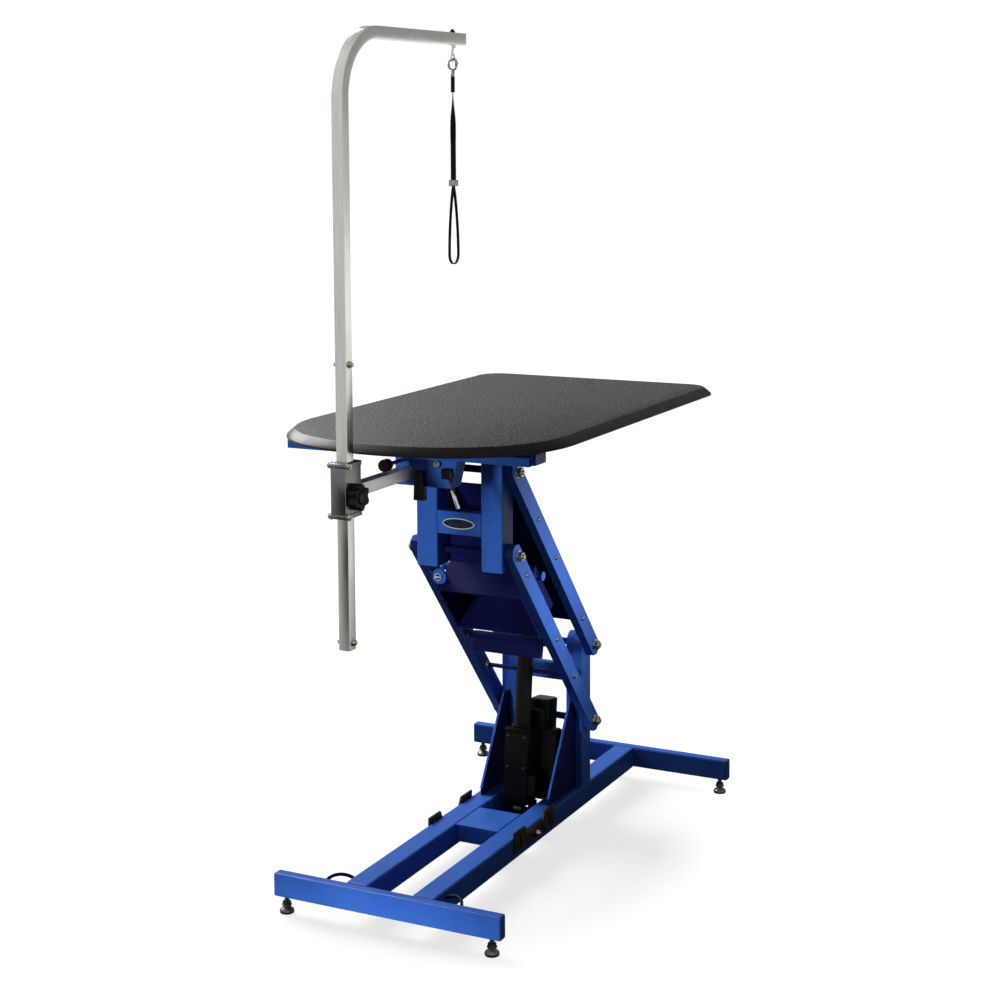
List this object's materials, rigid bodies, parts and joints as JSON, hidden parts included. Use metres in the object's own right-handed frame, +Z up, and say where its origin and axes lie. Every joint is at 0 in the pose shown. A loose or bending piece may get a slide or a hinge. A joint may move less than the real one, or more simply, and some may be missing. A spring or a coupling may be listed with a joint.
{
  "type": "pet grooming table",
  "caption": "Electric-lift pet grooming table: bow-fronted matted top on a parallelogram arm lift over a steel base, with a bent restraint post and hanging noose.",
  "frame": {"origin": "on the floor under the middle of the object's box", "axes": "+X right seen from the front, +Y to the rear, +Z up"},
  "size_m": [0.692, 1.174, 1.8332],
  "materials": {
    "blue": "gloss blue powder coat",
    "navy": "dark blue powder coat",
    "zinc": "zinc plated",
    "steel": "polished steel tube",
    "rubber": "black, fine textured",
    "black": "black moulded",
    "silver": "bare satin plate",
    "webbing": "woven black tape",
    "board": "board with black rubber edge"
  },
  "bodies": {
    "base": {"front_bar": "blue", "rear_bar": "blue", "rail_left": "blue", "rail_right": "blue", "cross_member": "blue", "upright_left": "blue", "upright_right": "blue", "gusset_left": "navy", "gusset_right": "navy", "mast_bar": "blue", "corner_loop_left": "navy", "corner_loop_right": "navy", "keyhole_plate_left": "zinc", "keyhole_plate_right": "zinc", "actuator_foot": "navy", "mast_shaft_lower": "zinc", "mast_shaft_upper": "zinc"},
    "foot_front_left": {"foot_front_left": "rubber"},
    "foot_front_right": {"foot_front_right": "rubber"},
    "foot_rear_left": {"foot_rear_left": "rubber"},
    "foot_rear_right": {"foot_rear_right": "rubber"},
    "lower_arms": {"lower_arm_left": "blue", "lower_arm_right": "blue", "lower_channel": "navy", "lower_plate": "navy", "stop_tube": "blue", "rod_shaft": "zinc"},
    "upper_arms": {"upper_arm_left": "blue", "upper_arm_right": "blue", "upper_plate": "navy"},
    "head": {"head_leg_left": "blue", "head_leg_right": "blue", "head_bar": "blue", "oval_plate": "silver", "frame_cross_front": "blue", "frame_cross_rear": "blue", "frame_long_left": "blue", "frame_long_right": "blue", "tabletop_board": "board", "mat": "rubber", "boom_bracket": "blue", "head_shaft_lower": "zinc", "head_shaft_upper": "zinc"},
    "actuator_body": {"actuator_housing": "black", "actuator_motor": "black"},
    "actuator_rod": {"actuator_rod": "black"},
    "boom": {"boom": "steel", "post_sleeve": "steel"},
    "post": {"post": "steel", "eye_bolt": "zinc"},
    "noose": {"snap_hook": "zinc", "swivel": "black", "noose_strap": "webbing", "noose_loop": "webbing"},
    "slider": {"noose_slider": "zinc"},
    "post_knob": {"post_knob": "black"},
    "boom_screw": {"boom_screw": "zinc"},
    "clamp_lever": {"clamp_lever": "black"},
    "grip_lever": {"grip_lever": "black"}
  },
  "joints": [
    {"name": "lift", "type": "hinge", "parent": "base", "child": "lower_arms", "pos_m": [0, 0.2669, 0.2416], "axis": [1, 0, 0], "range_deg": [-3, 38]},
    {"name": "upper_arms_turn", "type": "hinge", "parent": "base", "child": "upper_arms", "pos_m": [0, 0.2669, 0.4223], "axis": [1, 0, 0], "range_deg": [-3.2, 38.2]},
    {"name": "head_level", "type": "hinge", "parent": "lower_arms", "child": "head", "pos_m": [0, -0.1378, 0.71394], "axis": [1, 0, 0], "range_deg": [-38.2, 3.2]},
    {"name": "actuator_tilt", "type": "hinge", "parent": "base", "child": "actuator_body", "pos_m": [0, 0.1165, 0.059], "axis": [1, 0, 0], "range_deg": [-1.5, 14]},
    {"name": "rod_slide", "type": "slide", "parent": "actuator_body", "child": "actuator_rod", "axis": [0, 0.1028, 0.9947], "range_m": [-0.101, 0.009]},
    {"name": "boom_slide", "type": "slide", "parent": "head", "child": "boom", "axis": [0, 1, 0], "range_m": [-0.07, 0.005]},
    {"name": "post_slide", "type": "slide", "parent": "boom", "child": "post", "axis": [0, 0, 1], "range_m": [-0.18, 0.23]},
    {"name": "noose_swing", "type": "hinge", "parent": "post", "child": "noose", "pos_m": [-0.045, -0.0985, 1.7655], "axis": [1, 0, 0], "range_deg": [-40, 40]},
    {"name": "slider_slide", "type": "slide", "parent": "noose", "child": "slider", "axis": [0, 0, 1], "range_m": [0, 0.05]},
    {"name": "post_knob_turn", "type": "hinge", "parent": "boom", "child": "post_knob", "pos_m": [-0.045, -0.5595, 0.9045], "axis": [1, 0, 0], "continuous": true},
    {"name": "boom_screw_turn", "type": "hinge", "parent": "head", "child": "boom_screw", "pos_m": [-0.045, -0.3135, 0.9395], "axis": [0, 1, 0], "continuous": true},
    {"name": "clamp_lever_turn", "type": "hinge", "parent": "head", "child": "clamp_lever", "pos_m": [0.052, -0.3135, 0.916], "axis": [0, 1, 0], "range_deg": [-60, 15]},
    {"name": "grip_turn", "type": "hinge", "parent": "head", "child": "grip_lever", "pos_m": [-0.01, -0.3135, 0.912], "axis": [0, 1, 0], "range_deg": [-40, 10]},
    {"name": "foot_front_left_turn", "type": "hinge", "parent": "base", "child": "foot_front_left", "pos_m": [-0.238, -0.497, 0.03], "axis": [0, 0, 1], "continuous": true},
    {"name": "foot_front_right_turn", "type": "hinge", "parent": "base", "child": "foot_front_right", "pos_m": [0.238, -0.497, 0.03], "axis": [0, 0, 1], "continuous": true},
    {"name": "foot_rear_left_turn", "type": "hinge", "parent": "base", "child": "foot_rear_left", "pos_m": [-0.324, 0.572, 0.03], "axis": [0, 0, 1], "continuous": true},
    {"name": "foot_rear_right_turn", "type": "hinge", "parent": "base", "child": "foot_rear_right", "pos_m": [0.324, 0.572, 0.03], "axis": [0, 0, 1], "continuous": true}
  ],
  "couplings": [
    {"joint": "upper_arms_turn", "follows": "lift", "ratio": 1},
    {"joint": "head_level", "follows": "lift", "ratio": -1},
    {"joint": "actuator_tilt", "follows": "lift", "ratio": 0.35005},
    {"joint": "rod_slide", "follows": "lift", "m_per_rad": -0.14958}
  ]
}
